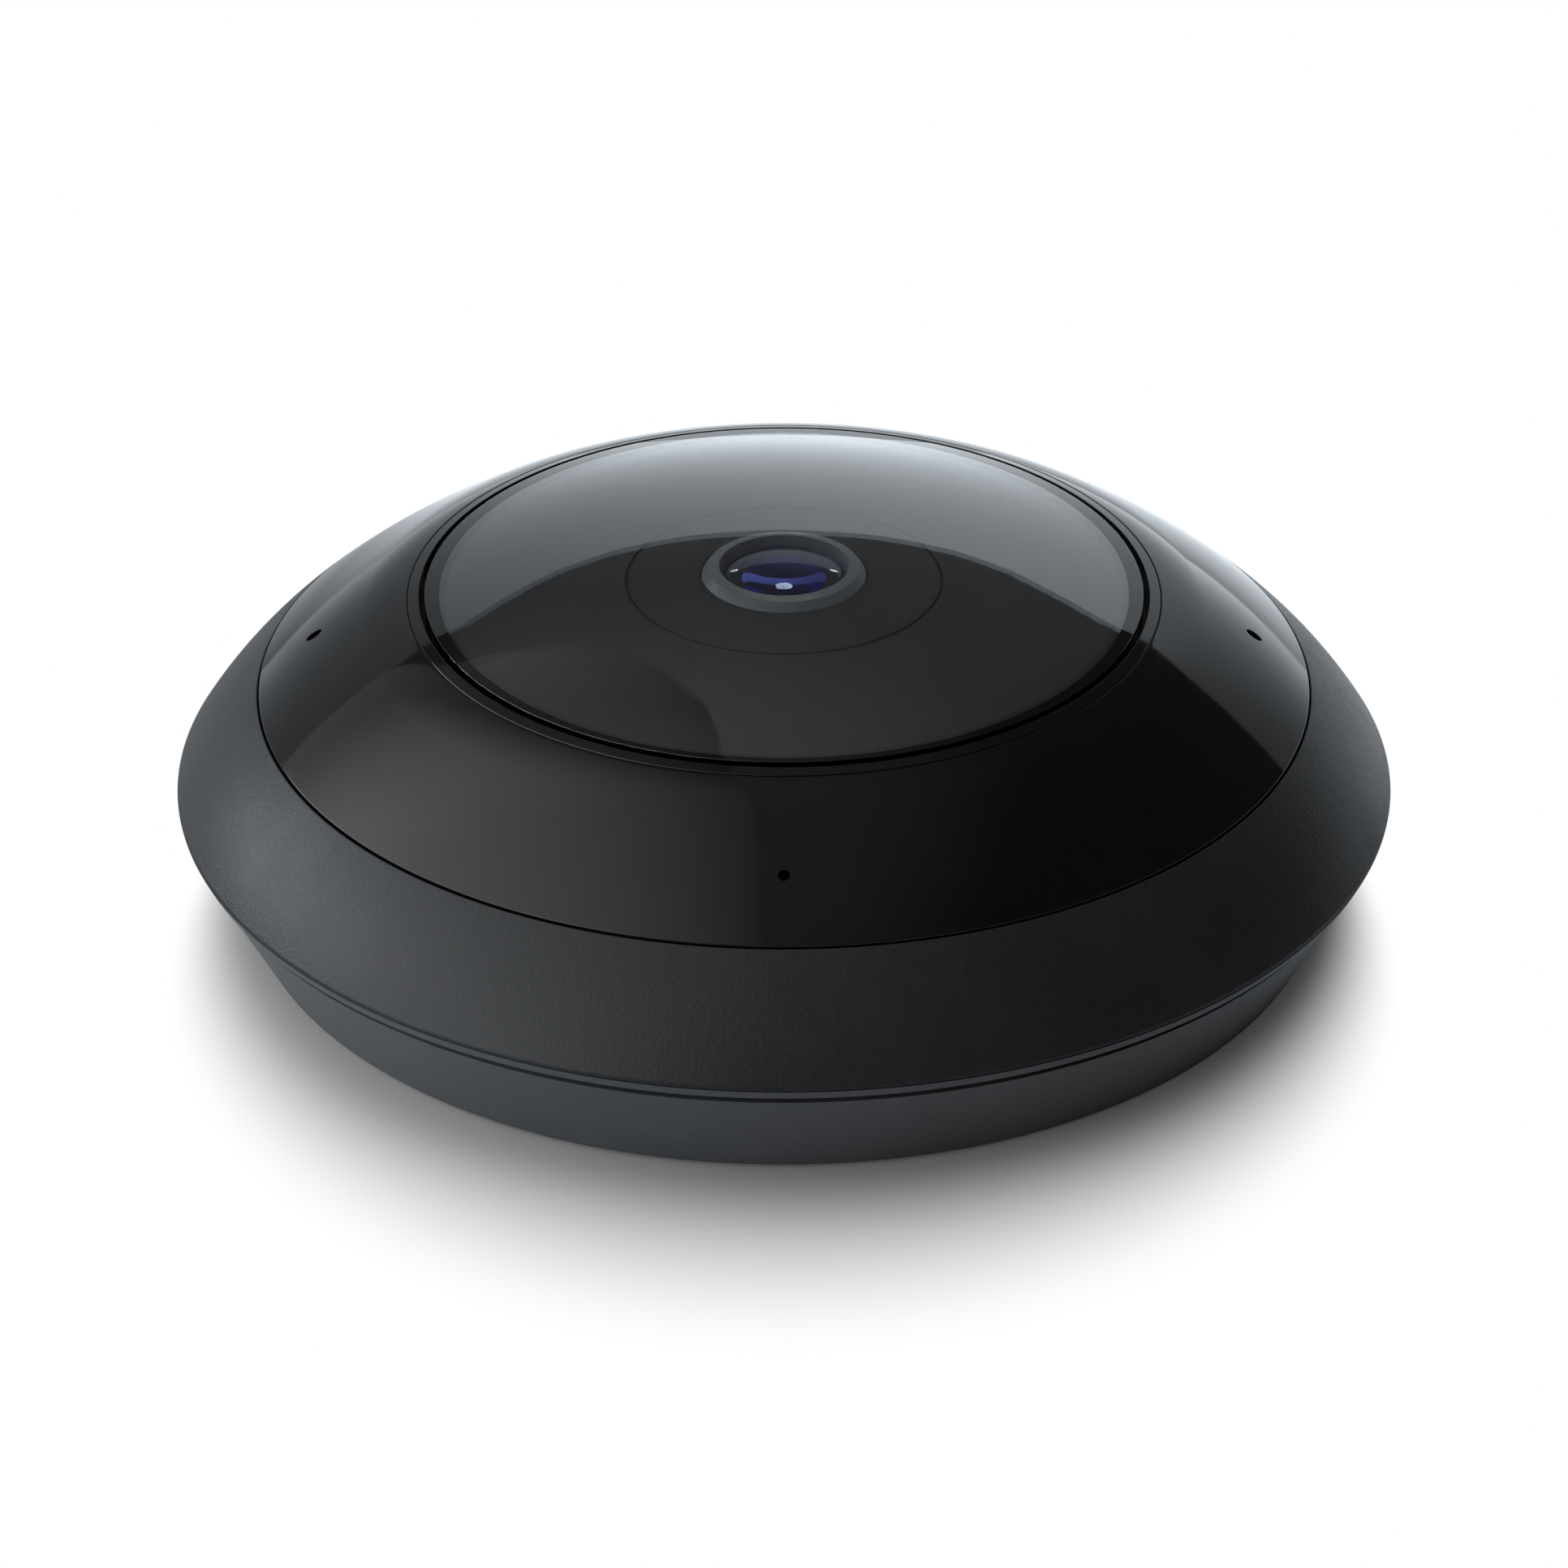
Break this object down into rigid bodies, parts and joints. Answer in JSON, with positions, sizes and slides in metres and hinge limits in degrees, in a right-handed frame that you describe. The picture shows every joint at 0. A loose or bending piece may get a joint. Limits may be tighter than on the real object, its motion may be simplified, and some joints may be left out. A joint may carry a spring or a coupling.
{
  "type": "ceiling security camera",
  "caption": "Low round ceiling camera: fixed fisheye lens under a clear shallow dome, nested matte and glossy rings, tapered band and twist-off mount plate.",
  "frame": {"origin": "centre of the mount plate's ceiling face, on the lens axis", "axes": "+Z out of the ceiling along the lens axis; -Y towards the side with the cut in the plate's thin edge, the side shown to the camera in the picture; the lock screw is at +Y"},
  "size_m": [0.158, 0.158, 0.049],
  "materials": {
    "mount_plate": "fine moulded texture",
    "bayonet_studs": "turned, zinc plated",
    "lock_screw": "zinc plated",
    "rear_housing": "satin powder coat on a casting",
    "cover_seal": "smooth",
    "vent_membrane": "felted membrane",
    "reset_button": "moulded",
    "reset_switch": "moulded",
    "ethernet_jack": "bent tinplate shell",
    "jack_contacts": "gold plated",
    "jack_seal": "smooth",
    "main_board": "solder mask",
    "processor": "moulded package",
    "thermal_pad": "soft sheet",
    "poe_transformer": "ferrite and winding",
    "power_capacitors": "drawn can with sleeve",
    "board_connectors": "moulded",
    "standoffs": "turned",
    "lens_bracket": "blasted casting",
    "bracket_screws": "zinc plated",
    "sensor_board": "solder mask",
    "image_sensor": "ceramic with cover glass",
    "filter_case": "moulded",
    "lens_holder": "moulded",
    "holder_screws": "zinc plated",
    "filter_slider": "moulded, slippery",
    "ir_filter_glass": "coated",
    "clear_filter_glass": "polished",
    "filter_arm": "moulded, slippery",
    "arm_magnet": "nickel plated magnet",
    "filter_coil": "enamelled copper winding",
    "coil_yoke": "soft iron, zinc plated",
    "lens_barrel": "black anodised",
    "lens_elements": "coated",
    "lens_front_glass": "multi-coated",
    "lens_bezel": "satin dark grey",
    "lens_plate": "satin",
    "inner_shroud": "satin",
    "shroud_screws": "zinc plated",
    "dome_window": "clear, hard coated",
    "window_gasket": "smooth",
    "window_trim_ring": "polished",
    "ir_cover": "polished, passes infrared",
    "baffle_ring": "foamed",
    "ir_board": "white solder mask",
    "ir_leds": "ceramic package with clear lens",
    "ir_board_screws": "zinc plated",
    "microphones": "metal can",
    "mic_boots": "smooth",
    "mic_boards": "solder mask",
    "outer_cover": "fine moulded texture",
    "cover_screws": "zinc plated",
    "sensor_flex": "polyimide film",
    "ir_flex": "polyimide film"
  },
  "bodies": {
    "mount_plate": {"mount_plate": "mount_plate"},
    "camera": {"bayonet_studs": "bayonet_studs", "lock_screw": "lock_screw", "rear_housing": "rear_housing", "cover_seal": "cover_seal", "vent_membrane": "vent_membrane", "reset_switch": "reset_switch", "ethernet_jack": "ethernet_jack", "jack_contacts": "jack_contacts", "jack_seal": "jack_seal", "main_board": "main_board", "processor": "processor", "thermal_pad": "thermal_pad", "poe_transformer": "poe_transformer", "power_capacitors": "power_capacitors", "board_connectors": "board_connectors", "standoffs": "standoffs", "lens_bracket": "lens_bracket", "bracket_screws": "bracket_screws", "sensor_board": "sensor_board", "image_sensor": "image_sensor", "filter_case": "filter_case", "lens_holder": "lens_holder", "holder_screws": "holder_screws", "filter_coil": "filter_coil", "coil_yoke": "coil_yoke", "lens_barrel": "lens_barrel", "lens_elements": "lens_elements", "lens_front_glass": "lens_front_glass", "lens_bezel": "lens_bezel", "lens_plate": "lens_plate", "inner_shroud": "inner_shroud", "shroud_screws": "shroud_screws", "dome_window": "dome_window", "window_gasket": "window_gasket", "window_trim_ring": "window_trim_ring", "ir_cover": "ir_cover", "baffle_ring": "baffle_ring", "ir_board": "ir_board", "ir_leds": "ir_leds", "ir_board_screws": "ir_board_screws", "microphones": "microphones", "mic_boots": "mic_boots", "mic_boards": "mic_boards", "outer_cover": "outer_cover", "cover_screws": "cover_screws", "sensor_flex": "sensor_flex", "ir_flex": "ir_flex"},
    "reset_button": {"reset_button": "reset_button"},
    "filter_slider": {"filter_slider": "filter_slider", "ir_filter_glass": "ir_filter_glass", "clear_filter_glass": "clear_filter_glass"},
    "filter_arm": {"filter_arm": "filter_arm", "arm_magnet": "arm_magnet"}
  },
  "joints": [
    {"name": "camera_twist", "type": "hinge", "parent": "mount_plate", "child": "camera", "pos_m": [0, 0, 0], "axis": [0, 0, 1], "range_deg": [0, 15]},
    {"name": "reset_press", "type": "slide", "parent": "camera", "child": "reset_button", "axis": [0, 0, 1], "range_m": [0, 0.0005], "stiffness_N_per_m": 2000, "springref_m": -0.0001},
    {"name": "filter_slide", "type": "slide", "parent": "camera", "child": "filter_slider", "axis": [1, 0, 0], "range_m": [0, 0.0085]},
    {"name": "filter_arm_swing", "type": "hinge", "parent": "camera", "child": "filter_arm", "pos_m": [0, -0.01696, 0.0275], "axis": [0, 0, -1], "range_deg": [0, 60]}
  ],
  "couplings": [
    {"joint": "filter_arm_swing", "follows": "filter_slide", "rad_per_m": 123.19}
  ]
}
